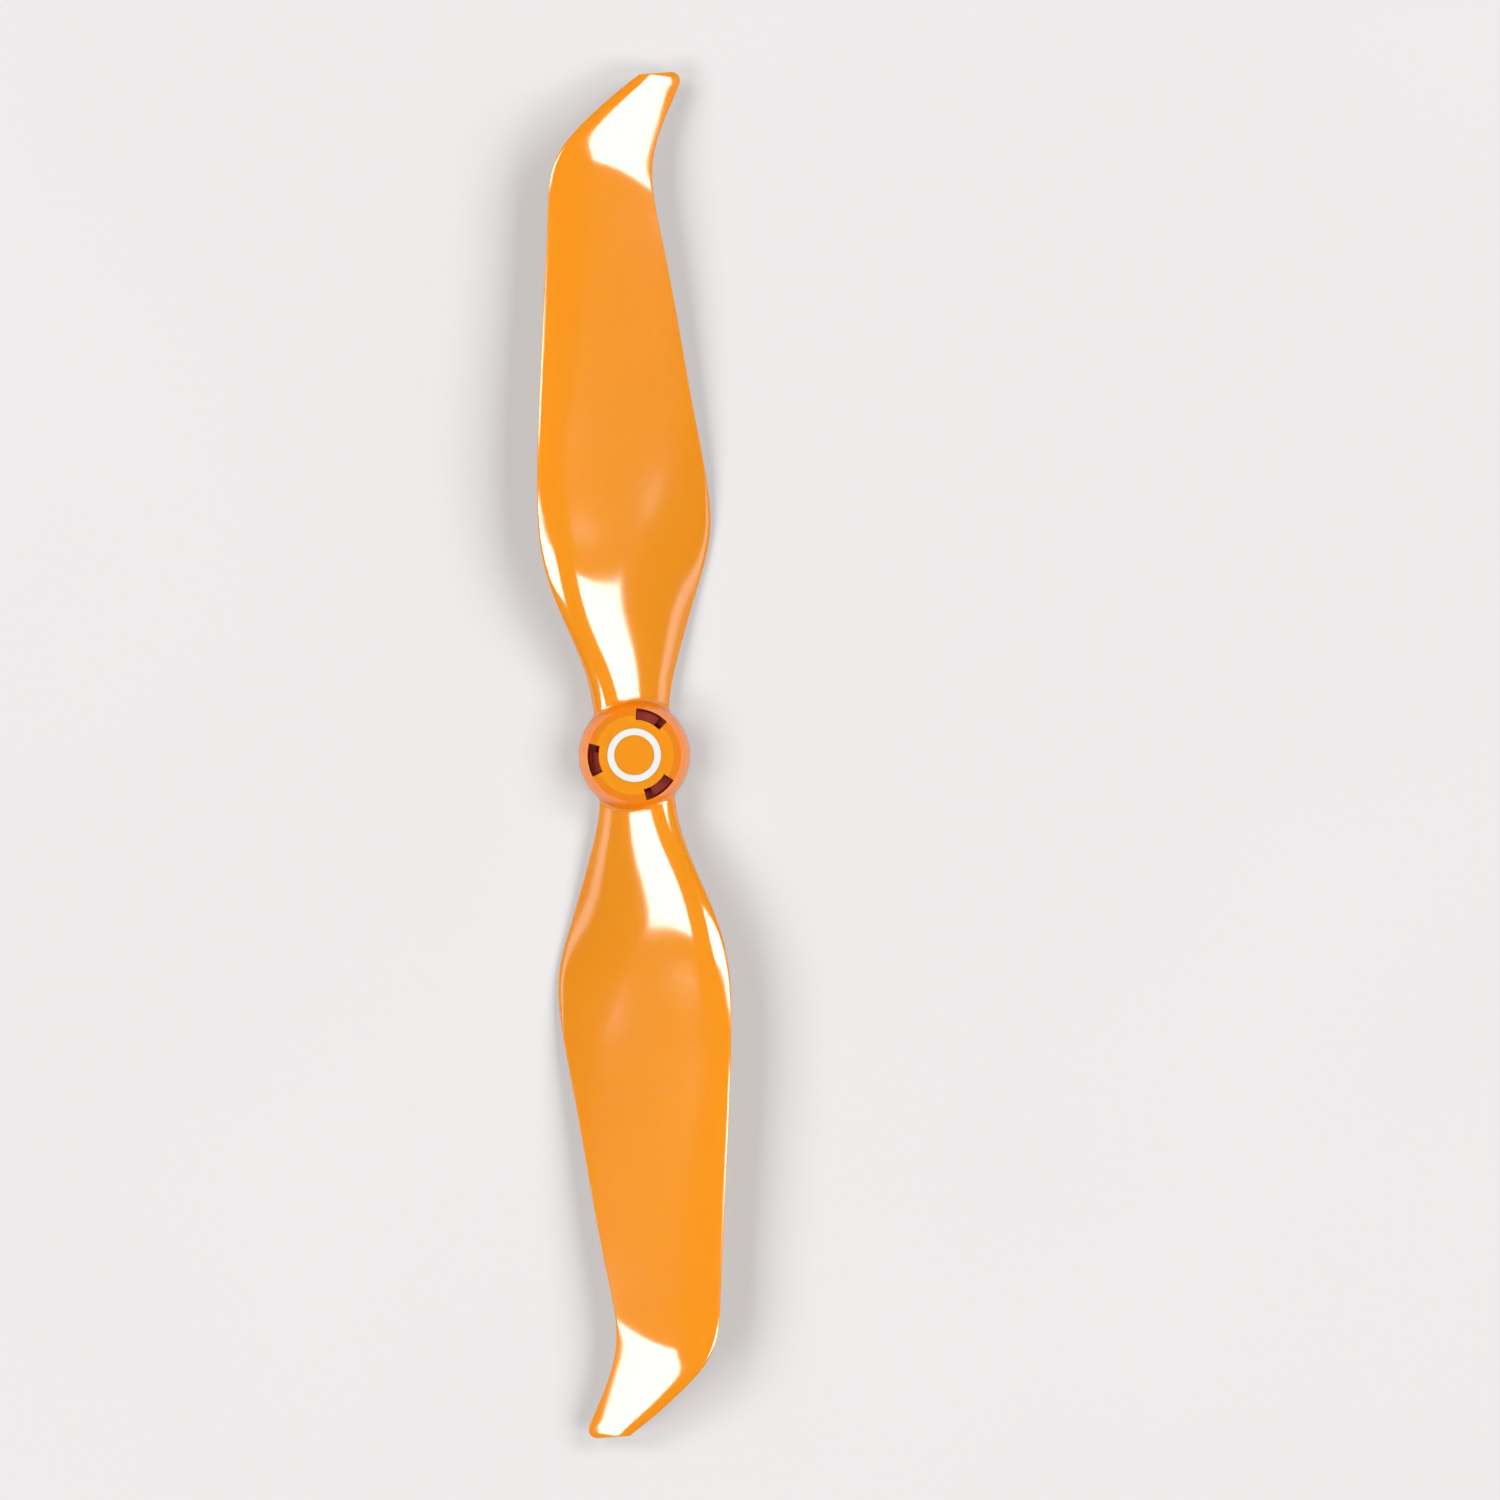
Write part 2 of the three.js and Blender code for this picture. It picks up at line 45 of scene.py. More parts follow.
# Blade shape. Each list holds (distance from the spin axis, value).
LEADING_EDGE = [
    (6.5, -7.0), (10, -7.5), (18, -9.95), (28, -14.2), (36, -16.35), (46, -16.95),
    (70, -16.25), (96, -15.05), (102, -14.4), (106, -12.6), (112, -7.25), (119.35, 0.85),
]
TRAILING_EDGE = [
    (6.5, 6.0), (10, 6.2), (18, 7.85), (30, 11.25), (36.5, 12.95), (41, 13.35), (46, 12.95),
    (60, 10.45), (90, 4.9), (100, 3.2), (104, 3.32), (110, 4.92), (116, 7.4), (119.35, 8.85),
]
TWIST_DEG = [
    (6.5, 9), (12, 14), (20, 21.5), (31, 25), (42, 22.3), (60, 18), (80, 14.4), (100, 11.8),
    (119.35, 10.0),
]
THICKNESS = [
    (6.5, 5.0), (12, 4.6), (20, 3.6), (30, 2.8), (40, 2.2), (60, 1.6), (100, 1.1), (119.35, 0.9),
]
AXIS_HEIGHT = [
    (6.5, 4.3), (12, 4.85), (25, 6.15), (32, 6.6), (40, 6.9), (50, 7.38), (60, 7.74), (80, 8.4),
    (96, 8.9), (119.35, 9.6),
]
NOSE_DROOP = [
    (6.5, 0), (16, 0), (22, 0.4), (27, 1.0), (32, 1.5), (37, 1.4), (46, 0.4), (60, 0), (90, -0.1),
    (104, -0.3), (119.35, -0.2),
]
NOSE_REACH = 3.1
TAIL_DROOP = [
    (6.5, 0.3), (12, 0.3), (20, 0.28), (27, 0.22), (33, 0.06), (38, 0), (50, 0), (70, 0), (104, 0),
    (110, 0.03), (115, 0.12), (119.35, 0.15),
]
TAIL_REACH = 2.5
# A sharper droop right at the back edge, where the blade is widest.
TAIL_LIP = [
    (6.5, 0), (20, 0), (27, 0.01), (32, 0.05), (36, 0.1), (41, 0.14), (45, 0.15), (49, 0.05),
    (54, 0), (62, 0), (119.35, 0),
]
TAIL_LIP_REACH = 0.7
CAMBER = 0.045
TRAILING_THICKNESS = 0.5
TRAILING_ROUND = 0.22
TIP_CORNER_RADIUS = 2.5
TIP_END_ROUND = 0.12
TIP_END_FROM = 118.4
TIP_SKEW = 0.45
TIP_SKEW_START = 112
TIP_BEND_DEG = 62
TIP_BEND_AT = 89.4
TIP_BEND_SLOPE = 0.18
TIP_BEND_SOFTNESS = 0.9
ROOT_FILLET = 0.6
ROOT_BLEND_END = 16
ROOT_SINK = 0.45
ROOT_START = 0.004

# Hub shell.
HUB_BOTTOM = 1.0
HUB_TOP = 11.0
HUB_RADIUS = 9.8
HUB_WAIST = 5.0
HUB_FLAT_RADIUS = 6.85
HUB_DOME_WIDTH = 3.2
HUB_DOME_HEIGHT = 5.5
HUB_CHAMFER_RADIUS = 8.18  # the slots reach out to here too
CAVITY_MOUTH_RADIUS = 8.6
CAVITY_TOP_RADIUS = 8.18
CAVITY_TOP = 9.0
BOSS_RADIUS = 5.2
BOSS_BORE = 3.8
BOSS_BOTTOM = 4.8
BOSS_EDGE = 0.15
LIP = 0.015
FOOT_EDGE = 0.2
MOUTH_EDGE = 0.15
CAVITY_CORNER = 0.2
CAVITY_WALL = [(8.4, 4.8), (8.22, 8.5)]
INNERMOST_RING = 1.6

# Bayonet.
SLOT_ANGLES = (66.5, 186.5, 306.5)
SLOT_HALF_DEG = 21.1
SLOT_INNER = 6.19
LEDGE_INNER = 6.6
LEDGE_BOTTOM = 4.8
LEDGE_TOP = 5.4
HUMP_HEIGHT = 0.3
HUMP_DEG = 9
HUMP_INSET_DEG = 0.5
STOP_DEG = 6
STOP_INSET_DEG = 0.4
BAYONET_EDGE = 0.1

# Marker ring.
MARKER_INNER = 3.49
MARKER_OUTER = 4.68
MARKER_DEPTH = 0.8
MARKER_GAP = 0.006
MARKER_FLOOR_GAP = 0.1
MARKER_EDGE = 0.05

# Claw plate, which stays on the motor.
PLATE_RADIUS = 8.2
PLATE_THICKNESS = 1.5
PLATE_BORE = 1.6
PLATE_EDGE = 0.18
SPIGOT_RADIUS = 3.0
SPIGOT_TOP = 7.0
CLAW_INNER = 5.6
CLAW_POST_OUTER = 6.3
CLAW_HOOK_OUTER = 7.9
CLAW_HOOK_BOTTOM = 6.0
CLAW_TOP = 7.4
CLAW_FROM_DEG = -10.5
CLAW_TO_DEG = 19.5
CLAW_EDGE = 0.2
SCREW_CIRCLE = 5.4
SCREW_OFFSET_DEG = 45
SCREW_HOLE_RADIUS = 1.1
SCREW_HEAD_RADIUS = 1.8
SCREW_HEAD_DEPTH = 0.9

# Pressure plate, its springs and its retaining ring.
PRESSURE_BOTTOM = 3.4
PRESSURE_TOP = 4.4
PRESSURE_RADIUS = 8.0
PRESSURE_BORE = 3.3
PRESSURE_EDGE = 0.2
NOTCH_GAP = 0.3
DRIVER_HOLE_RADIUS = 1.3
SPRING_CIRCLE = 6.2
SPRING_OFFSET_DEG = 86
SPRING_COIL_RADIUS = 1.0
SPRING_WIRE_RADIUS = 0.18
SPRING_TURNS = 3.5
SPRING_ENDS = (0.9, 3.1)
POCKET_RADIUS = 1.5
POCKET_FLOOR = 0.6
RETAINER_INNER = 2.75
RETAINER_OUTER = 3.55
RETAINER_BOTTOM = 4.7
RETAINER_TOP = 5.1
RETAINER_OPENING_DEG = 40
RETAINER_EDGE = 0.12
GROOVE_RADIUS = 2.6
GROOVE_PLAY = 0.1

# How far a piece that is joined on reaches into the one that it joins.
SUNK = 0.3
SUNK_SIDEWAYS = 0.2

# Fineness.
CHORD_STEPS = 48
ROOT_ROWS = 22
SPAN_ROWS = [(ROOT_BLEND_END, 46, 50), (46, 96, 56), (96, TIP_END_FROM, 56)]
TIP_ROWS = 11
SLOT_STEPS = 22
BETWEEN_STEPS = 40
CHAMFER_STEPS = 6
DOME_STEPS = 24
WALL_STEPS = 5
TURNED_STEPS = 144
CLAW_STEPS = 15
SPRING_STEPS = 126
SPRING_SIDES = 12

# Edges sharper than this stay crisp.
MOULDED_CREASE_DEG = 32
TURNED_CREASE_DEG = 40
WIRE_CREASE_DEG = 50


# ---------------------------------------------------------------- curves

def spline(points):
    """A natural cubic spline through (position, value) points, as a function of arrays."""
    x, y = np.array(points, float).T
    h = np.diff(x)
    count = len(x)
    system = np.eye(count)
    right = np.zeros(count)
    for i in range(1, count - 1):
        system[i, i - 1 : i + 2] = h[i - 1], 2 * (h[i - 1] + h[i]), h[i]
        right[i] = 6 * ((y[i + 1] - y[i]) / h[i] - (y[i] - y[i - 1]) / h[i - 1])
    bend = np.linalg.solve(system, right)

    def value(at):
        at = np.asarray(at, float)
        i = np.clip(np.searchsorted(x, at) - 1, 0, count - 2)
        b = (at - x[i]) / h[i]
        a = 1 - b
        curve = (a**3 - a) * bend[i] + (b**3 - b) * bend[i + 1]
        return a * y[i] + b * y[i + 1] + curve * h[i] ** 2 / 6

    return value


leading_edge = spline(LEADING_EDGE)
trailing_edge = spline(TRAILING_EDGE)
twist = spline(TWIST_DEG)
thickness = spline(THICKNESS)
axis_height = spline(AXIS_HEIGHT)
nose_droop = spline(NOSE_DROOP)
tail_droop = spline(TAIL_DROOP)
tail_lip = spline(TAIL_LIP)


def rounded_end(into, radius):
    """1 before a round end begins, falling to 0 as a quarter circle over its radius."""
    t = np.clip(into / radius, 0, 1)
    return np.sqrt(1 - t * t)


def tip_drop(x, y):
    """How far the skewed tip bends down past its bend line, which turns in softly."""
    turn = math.radians(TIP_BEND_DEG)
    past = (x * math.cos(turn) + y * math.sin(turn) - TIP_BEND_AT) / TIP_BEND_SOFTNESS
    return TIP_BEND_SLOPE * TIP_BEND_SOFTNESS * np.logaddexp(0, past)


def airfoil(s):
    """Thickness of the section along the chord, as a share of the greatest."""
    return 2.969 * np.sqrt(s) - 1.26 * s - 3.516 * s**2 + 2.843 * s**3 - 1.036 * s**4


def section_parameters():
    """Chord fraction and side (1 above, -1 below) round one section from the leading edge."""
    fractions = (1 - np.cos(np.pi * np.arange(CHORD_STEPS + 1) / CHORD_STEPS)) / 2
    s = np.concatenate([fractions, fractions[-2:0:-1]])
    side = np.concatenate([np.ones(CHORD_STEPS + 1), -np.ones(CHORD_STEPS - 1)])
    return s, side


def section(y, s, side):
    """Points of the +Y blade's skin: x, y and z for each distance and place on the section."""
    y = np.broadcast_to(np.asarray(y, float), s.shape)
    lead = leading_edge(y)
    into_corner = np.clip(y - (TIP_RADIUS - TIP_CORNER_RADIUS), 0, TIP_CORNER_RADIUS)
    corner = TIP_CORNER_RADIUS - np.sqrt(TIP_CORNER_RADIUS**2 - into_corner**2)
    chord = trailing_edge(y) - corner - lead
    x = lead + s * chord
    middle = axis_height(y) - x * np.tan(np.radians(twist(y))) - tip_drop(x, y)
    camber = CAMBER * chord * 4 * s * (1 - s)
    middle = middle - nose_droop(y) * np.exp(-(s * chord / NOSE_REACH) ** 1.5)
    middle = middle - tail_droop(y) * np.exp(-((1 - s) * chord / TAIL_REACH) ** 1.5)
    middle = middle - tail_lip(y) * np.exp(-((1 - s) * chord / TAIL_LIP_REACH) ** 1.5)
    half = (thickness(y) * airfoil(s) + TRAILING_THICKNESS * s) / 2
    half = half * rounded_end(TRAILING_ROUND - (1 - s) * chord, TRAILING_ROUND)
    half = half * rounded_end(y - (TIP_RADIUS - TIP_END_ROUND), TIP_END_ROUND)
    into_skew = np.clip((y - TIP_SKEW_START) / (TIP_RADIUS - TIP_SKEW_START), 0, 1)
    skewed = y - TIP_SKEW * into_skew**2 * (1 - s)
    return x, skewed, middle + camber + side * half


def dome_height(radius):
    """Height of the hub's dome at a radius: part of an ellipse that starts at the wall."""
    across = 1 - (HUB_RADIUS - radius) / HUB_DOME_WIDTH
    return HUB_WAIST + HUB_DOME_HEIGHT * np.sqrt(1 - across**2)


def hub_radius(z):
    """Outer radius of the hub at a height: wall, dome, and chamfer up to the flat top."""
    up = np.clip((z - HUB_WAIST) / HUB_DOME_HEIGHT, 0, 1)
    dome = HUB_RADIUS - HUB_DOME_WIDTH * (1 - np.sqrt(1 - up**2))
    heights = (dome_height(HUB_CHAMFER_RADIUS), HUB_TOP)
    chamfer = np.interp(z, heights, (HUB_CHAMFER_RADIUS, HUB_FLAT_RADIUS))
    return np.where(z > heights[0], chamfer, dome)


def outward(x, z):
    """Outward normals of a closed section that runs clockwise."""
    dx = np.roll(x, -1) - np.roll(x, 1)
    dz = np.roll(z, -1) - np.roll(z, 1)
    length = np.hypot(dx, dz)
    return -dz / length, dx / length


def root_row(v, s, side):
    """A row of skin points between the hub (v = 0) and the end of the root blend (v = 1)."""
    y = np.full(s.shape, ROOT_BLEND_END / 2)
    from_hub = np.full(s.shape, v)
    for _ in range(6):
        x, along, z = section(y, s, side)
        nx, nz = outward(x, z)
        flare = ROOT_FILLET * (1 - rounded_end(ROOT_FILLET - from_hub, ROOT_FILLET))
        x = x + nx * flare
        z = z + nz * flare
        on_hub = np.sqrt(np.clip(hub_radius(z) ** 2 - x**2, 1, None))
        from_hub = (ROOT_BLEND_END - on_hub) * v
        y = on_hub + from_hub
    return x, y, z


def blade_rows():
    """The blade's skin as rows of points, from inside the hub's wall to the tip."""
    s, side = section_parameters()
    rows = []
    x, y, z = root_row(ROOT_START, s, side)
    rows.append((x, y - ROOT_SINK, z))
    for v in np.linspace(0.06, 1, ROOT_ROWS) ** 2:
        rows.append(root_row(v, s, side))
    for start, end, count in SPAN_ROWS:
        for y in np.linspace(start, end, count + 1)[1:]:
            rows.append(section(y, s, side))
    final = TIP_RADIUS - TIP_END_FROM
    for turn in np.radians(np.linspace(0, 88, TIP_ROWS + 1)[1:]):
        rows.append(section(TIP_END_FROM + final * np.sin(turn), s, side))
    return [np.stack(row, axis=1) for row in rows]


# ---------------------------------------------------------------- meshes

def object_from(name, vertices, faces):
    mesh = bpy.data.meshes.new(name)
    mesh.from_pydata((np.asarray(vertices) * MM).tolist(), [], faces)
    mesh.validate()
    piece = bpy.data.objects.new(name, mesh)
    bpy.context.collection.objects.link(piece)
    return piece


def face_outwards(piece):
    work = bmesh.new()
    work.from_mesh(piece.data)
    bmesh.ops.recalc_face_normals(work, faces=work.faces)
    work.to_mesh(piece.data)
    work.free()


def smooth_below(piece, angle_deg):
    """Smooth shading everywhere but over edges sharper than an angle."""
    work = bmesh.new()
    work.from_mesh(piece.data)
    limit = math.radians(angle_deg)
    for face in work.faces:
        face.smooth = True
    for edge in work.edges:
        edge.smooth = len(edge.link_faces) == 2 and edge.calc_face_angle(0) < limit
    work.to_mesh(piece.data)
    work.free()


def combine(piece, other, operation):
    """Joins or cuts with another piece, which is used up."""
    step = piece.modifiers.new("combine", "BOOLEAN")
    step.operation = operation
    step.solver = "MANIFOLD"
    step.object = other
    graph = bpy.context.evaluated_depsgraph_get()
    made = bpy.data.meshes.new_from_object(piece.evaluated_get(graph))
    piece.modifiers.clear()
    piece.data = made
    bpy.data.objects.remove(other)


def turned(name, profile, steps=192):
    """A closed profile of (radius, height) points turned about the spin axis."""
    angles = np.arange(steps) * 2 * np.pi / steps
    return swept(name, profile, angles, closed=True)


def swept(name, profile, angles, closed=False):
    """A closed profile swept through angles about the spin axis, with capped ends if open."""
    profile = np.array(profile, float)
    size = len(profile)
    rings = [
        np.stack([profile[:, 0] * np.cos(a), profile[:, 0] * np.sin(a), profile[:, 1]], axis=1)
        for a in angles
    ]
    count = len(rings)
    faces = []
    for k in range(count if closed else count - 1):
        here, there = k * size, (k + 1) % count * size
        for i in range(size):
            j = (i + 1) % size
            faces.append((here + i, here + j, there + j, there + i))
    if not closed:
        faces.append(tuple(range(size))[::-1])
        faces.append(tuple((count - 1) * size + i for i in range(size)))
    piece = object_from(name, np.concatenate(rings), faces)
    face_outwards(piece)
    return piece


def rounded_profile(corners, radius, steps=3):
    """A closed profile with its corners rounded."""
    corners = np.array(corners, float)
    points = []
    for i, corner in enumerate(corners):
        before = corners[i - 1] - corner
        after = corners[(i + 1) % len(corners)] - corner
        reach = min(radius, np.linalg.norm(before) / 2.2, np.linalg.norm(after) / 2.2)
        start = corner + before / np.linalg.norm(before) * reach
        end = corner + after / np.linalg.norm(after) * reach
        for t in np.linspace(0, 1, steps + 1):
            points.append((1 - t) ** 2 * start + 2 * t * (1 - t) * corner + t * t * end)
    return points


def arc_block(name, radii, heights, angles_deg, bevel=0.0):
    inner, outer = radii
    bottom, top = heights
    corners = [(inner, bottom), (outer, bottom), (outer, top), (inner, top)]
    profile = rounded_profile(corners, bevel) if bevel else corners
    steps = max(2, round((angles_deg[1] - angles_deg[0]) / 2))
    angles = np.radians(np.linspace(*angles_deg, steps + 1))
    return swept(name, profile, angles)


# ---------------------------------------------------------------- airscrew

def blade(name):
    rows = blade_rows()
    size = len(rows[0])
    faces = []
    for k in range(len(rows) - 1):
        for i in range(size):
            j = (i + 1) % size
            faces.append((k * size + i, k * size + j, (k + 1) * size + j, (k + 1) * size + i))
    for first in (0, (len(rows) - 1) * size):
        for i in range(CHORD_STEPS):
            quad = [i, i + 1, size - i - 1, (size - i) % size]
            faces.append(tuple(first + k for k in dict.fromkeys(quad)))
    piece = object_from(name, np.concatenate(rows), faces)
    face_outwards(piece)
    return piece


def hub_angles():
    """Angles of the hub's mesh lines, which meet the ends of the slots."""
    angles = []
    for slot_deg in SLOT_ANGLES:
        start, end = slot_deg - SLOT_HALF_DEG, slot_deg + SLOT_HALF_DEG
        angles += list(np.linspace(start, end, SLOT_STEPS + 1))[:-1]
        angles += list(np.linspace(end, start + 120, BETWEEN_STEPS + 1))[:-1]
    return np.radians(angles)


def hub_profile():
    """The hub shell's section from the top's centre down the outside and up the inside."""
    groove_floor = HUB_TOP - MARKER_DEPTH - MARKER_FLOOR_GAP
    groove_in, groove_out = MARKER_INNER - MARKER_GAP, MARKER_OUTER + MARKER_GAP
    top = [(INNERMOST_RING, HUB_TOP), (groove_in - LIP, HUB_TOP), (groove_in, HUB_TOP - LIP)]
    top += [(groove_in, groove_floor), (groove_out, groove_floor), (groove_out, HUB_TOP - LIP)]
    top += [(radius, HUB_TOP) for radius in (groove_out + LIP, 5.4, SLOT_INNER, 6.5)]
    chamfer_end = dome_height(HUB_CHAMFER_RADIUS)
    down = np.linspace(0, 1, DOME_STEPS + 1)[1:] ** 0.85
    levels = list(np.linspace(HUB_TOP, chamfer_end, CHAMFER_STEPS + 1))
    levels += list(chamfer_end + (HUB_WAIST - chamfer_end) * down)
    shoulder = [(float(hub_radius(z)), z) for z in levels]
    wall = np.linspace(HUB_WAIST, HUB_BOTTOM + FOOT_EDGE, WALL_STEPS + 1)[1:]
    side = [(HUB_RADIUS, z) for z in wall]
    foot = [(HUB_RADIUS - 0.3 * FOOT_EDGE, HUB_BOTTOM + 0.25 * FOOT_EDGE)]
    foot += [(HUB_RADIUS - FOOT_EDGE, HUB_BOTTOM)]
    inside = [(CAVITY_MOUTH_RADIUS + MOUTH_EDGE, HUB_BOTTOM)]
    inside += [(CAVITY_MOUTH_RADIUS, HUB_BOTTOM + MOUTH_EDGE), *CAVITY_WALL]
    inside += [(CAVITY_TOP_RADIUS, CAVITY_TOP - CAVITY_CORNER)]
    inside += [(radius, CAVITY_TOP) for radius in (7.9, 7.0, SLOT_INNER, 4.0, INNERMOST_RING)]
    return top + shoulder + side + foot + inside


def hub_shell(name):
    """The hub without its bayonet: a grid turned about the axis, opened at the slots."""
    profile = np.array(hub_profile())
    angles = hub_angles()
    size, count = len(profile), len(angles)
    rings = [
        np.stack([profile[:, 0] * np.cos(a), profile[:, 0] * np.sin(a), profile[:, 1]], axis=1)
        for a in angles
    ]
    top_centre, inner_centre = count * size, count * size + 1
    vertices = np.concatenate(rings + [np.array([[0, 0, HUB_TOP], [0, 0, CAVITY_TOP]])])
    corners = {
        "slot_in": (SLOT_INNER, HUB_TOP),
        "slot_out": (HUB_CHAMFER_RADIUS, dome_height(HUB_CHAMFER_RADIUS)),
        "under_out": (CAVITY_TOP_RADIUS, CAVITY_TOP - CAVITY_CORNER),
        "under_in": (SLOT_INNER, CAVITY_TOP),
    }
    at = {key: int(np.argmin(np.hypot(*(profile - corners[key]).T))) for key in corners}
    per_slot = SLOT_STEPS + BETWEEN_STEPS
    faces = []
    for k in range(count):
        here, there = k * size, (k + 1) % count * size
        in_slot = k % per_slot < SLOT_STEPS
        for i in range(size - 1):
            over = at["slot_in"] <= i < at["slot_out"]
            under = at["under_out"] <= i < at["under_in"]
            if in_slot and (over or under):
                continue
            faces.append((here + i, there + i, there + i + 1, here + i + 1))
        faces.append((here, there, top_centre))
        faces.append((here + size - 1, there + size - 1, inner_centre))
        if in_slot:
            for upper, lower in (("slot_in", "under_in"), ("slot_out", "under_out")):
                a, b = at[upper], at[lower]
                faces.append((here + a, there + a, there + b, here + b))
    for slot in range(3):
        for k in (slot * per_slot, slot * per_slot + SLOT_STEPS):
            start = k % count * size
            rim = list(range(at["slot_in"], at["slot_out"] + 1))
            rim += list(range(at["under_out"], at["under_in"] + 1))
            faces.append(tuple(start + i for i in rim))
    piece = object_from(name, vertices, faces)
    face_outwards(piece)
    return piece


def bayonet_blocks(slot_deg):
    """Radii, heights and angles of the ledge, the hump on it and the stop under one slot."""
    start, end = slot_deg - SLOT_HALF_DEG, slot_deg + SLOT_HALF_DEG
    ledge_radii = (LEDGE_INNER, CAVITY_MOUTH_RADIUS + SUNK_SIDEWAYS)
    stop_radii = (LEDGE_INNER, CAVITY_TOP_RADIUS + SUNK_SIDEWAYS)
    ledge = (ledge_radii, (LEDGE_BOTTOM, LEDGE_TOP), (start, end + STOP_DEG))
    hump_angles = (start + HUMP_INSET_DEG, start + HUMP_DEG)
    hump = (ledge_radii, (LEDGE_TOP - SUNK, LEDGE_TOP + HUMP_HEIGHT), hump_angles)
    stop_angles = (end + STOP_INSET_DEG, end + STOP_DEG - STOP_INSET_DEG)
    stop = (stop_radii, (LEDGE_TOP - SUNK, CAVITY_TOP + SUNK), stop_angles)
    return ledge, hump, stop


def airscrew():
    piece = hub_shell("airscrew_moulding")
    one = blade("blade")
    other = one.copy()
    other.data = one.data.copy()
    other.data.transform(Matrix.Rotation(math.pi, 4, "Z"))
    bpy.context.collection.objects.link(other)
    combine(piece, one, "UNION")
    combine(piece, other, "UNION")
    boss = [
        (BOSS_BORE, BOSS_BOTTOM), (BOSS_RADIUS, BOSS_BOTTOM),
        (BOSS_RADIUS, CAVITY_TOP + SUNK), (BOSS_BORE, CAVITY_TOP + SUNK),
    ]
    combine(piece, turned("boss", rounded_profile(boss, BOSS_EDGE), 96), "UNION")
    for slot_deg in SLOT_ANGLES:
        for radii, heights, angles in bayonet_blocks(slot_deg):
            block = arc_block("bayonet", radii, heights, angles, bevel=BAYONET_EDGE)
            combine(piece, block, "UNION")
    smooth_below(piece, MOULDED_CREASE_DEG)
    return piece


def marker_ring():
    bottom = HUB_TOP - MARKER_DEPTH
    corners = [
        (MARKER_INNER, bottom), (MARKER_OUTER, bottom),
        (MARKER_OUTER, HUB_TOP), (MARKER_INNER, HUB_TOP),
    ]
    piece = turned("marker_inlay", rounded_profile(corners, MARKER_EDGE), 160)
    smooth_below(piece, MOULDED_CREASE_DEG)
    return piece


# ---------------------------------------------------------------- motor side

def on_circle(radius, angle_deg):
    turn = math.radians(angle_deg)
    return radius * math.cos(turn), radius * math.sin(turn)


def cutter(radius, heights, at, top_radius=None, steps=40):
    """An upright round cutter, tapered if its top radius differs."""
    corners = [(0.001, heights[0]), (radius, heights[0]), (top_radius or radius, heights[1])]
    corners.append((0.001, heights[1]))
    piece = turned("cutter", corners, steps)
    piece.data.transform(Matrix.Translation(Vector((*at, 0)) * MM))
    return piece


def claw_plate():
    groove = (RETAINER_BOTTOM - GROOVE_PLAY, RETAINER_TOP + GROOVE_PLAY)
    body = [
        (PLATE_BORE, 0), (PLATE_RADIUS, 0), (PLATE_RADIUS, PLATE_THICKNESS),
        (SPIGOT_RADIUS, PLATE_THICKNESS), (SPIGOT_RADIUS, groove[0]), (GROOVE_RADIUS, groove[0]),
        (GROOVE_RADIUS, groove[1]), (SPIGOT_RADIUS, groove[1]), (SPIGOT_RADIUS, SPIGOT_TOP),
        (PLATE_BORE, SPIGOT_TOP),
    ]
    piece = turned("claw_plate_turning", rounded_profile(body, PLATE_EDGE), TURNED_STEPS)
    root = PLATE_THICKNESS - SUNK_SIDEWAYS
    hook = [
        (CLAW_INNER, root), (CLAW_POST_OUTER, root), (CLAW_POST_OUTER, CLAW_HOOK_BOTTOM),
        (CLAW_HOOK_OUTER, CLAW_HOOK_BOTTOM), (CLAW_HOOK_OUTER, CLAW_TOP), (CLAW_INNER, CLAW_TOP),
    ]
    for slot_deg in SLOT_ANGLES:
        ends = (slot_deg + CLAW_FROM_DEG, slot_deg + CLAW_TO_DEG)
        angles = np.radians(np.linspace(*ends, CLAW_STEPS + 1))
        combine(piece, swept("claw", rounded_profile(hook, CLAW_EDGE), angles), "UNION")
        screw = on_circle(SCREW_CIRCLE, slot_deg + SCREW_OFFSET_DEG)
        combine(piece, cutter(SCREW_HOLE_RADIUS, (-1, PLATE_THICKNESS + 1), screw), "DIFFERENCE")
        seat = (PLATE_THICKNESS - SCREW_HEAD_DEPTH, PLATE_THICKNESS + 0.001)
        sunk = cutter(SCREW_HOLE_RADIUS, seat, screw, SCREW_HEAD_RADIUS)
        combine(piece, sunk, "DIFFERENCE")
        pocket = on_circle(SPRING_CIRCLE, slot_deg + SPRING_OFFSET_DEG)
        recess = cutter(POCKET_RADIUS, (POCKET_FLOOR, PLATE_THICKNESS + 1), pocket)
        combine(piece, recess, "DIFFERENCE")
    smooth_below(piece, TURNED_CREASE_DEG)
    return piece


def pressure_plate():
    disc = [
        (PRESSURE_BORE, PRESSURE_BOTTOM), (PRESSURE_RADIUS, PRESSURE_BOTTOM),
        (PRESSURE_RADIUS, PRESSURE_TOP), (PRESSURE_BORE, PRESSURE_TOP),
    ]
    piece = turned("pressure_disc", rounded_profile(disc, PRESSURE_EDGE), TURNED_STEPS)
    through = (PRESSURE_BOTTOM - 1, PRESSURE_TOP + 1)
    side = math.degrees(NOTCH_GAP / CLAW_INNER)
    for slot_deg in SLOT_ANGLES:
        angles = (slot_deg + CLAW_FROM_DEG - side, slot_deg + CLAW_TO_DEG + side)
        notch = arc_block("notch", (CLAW_INNER - NOTCH_GAP, PRESSURE_RADIUS + 1), through, angles)
        combine(piece, notch, "DIFFERENCE")
        screw = on_circle(SCREW_CIRCLE, slot_deg + SCREW_OFFSET_DEG)
        combine(piece, cutter(DRIVER_HOLE_RADIUS, through, screw), "DIFFERENCE")
    smooth_below(piece, TURNED_CREASE_DEG)
    return piece


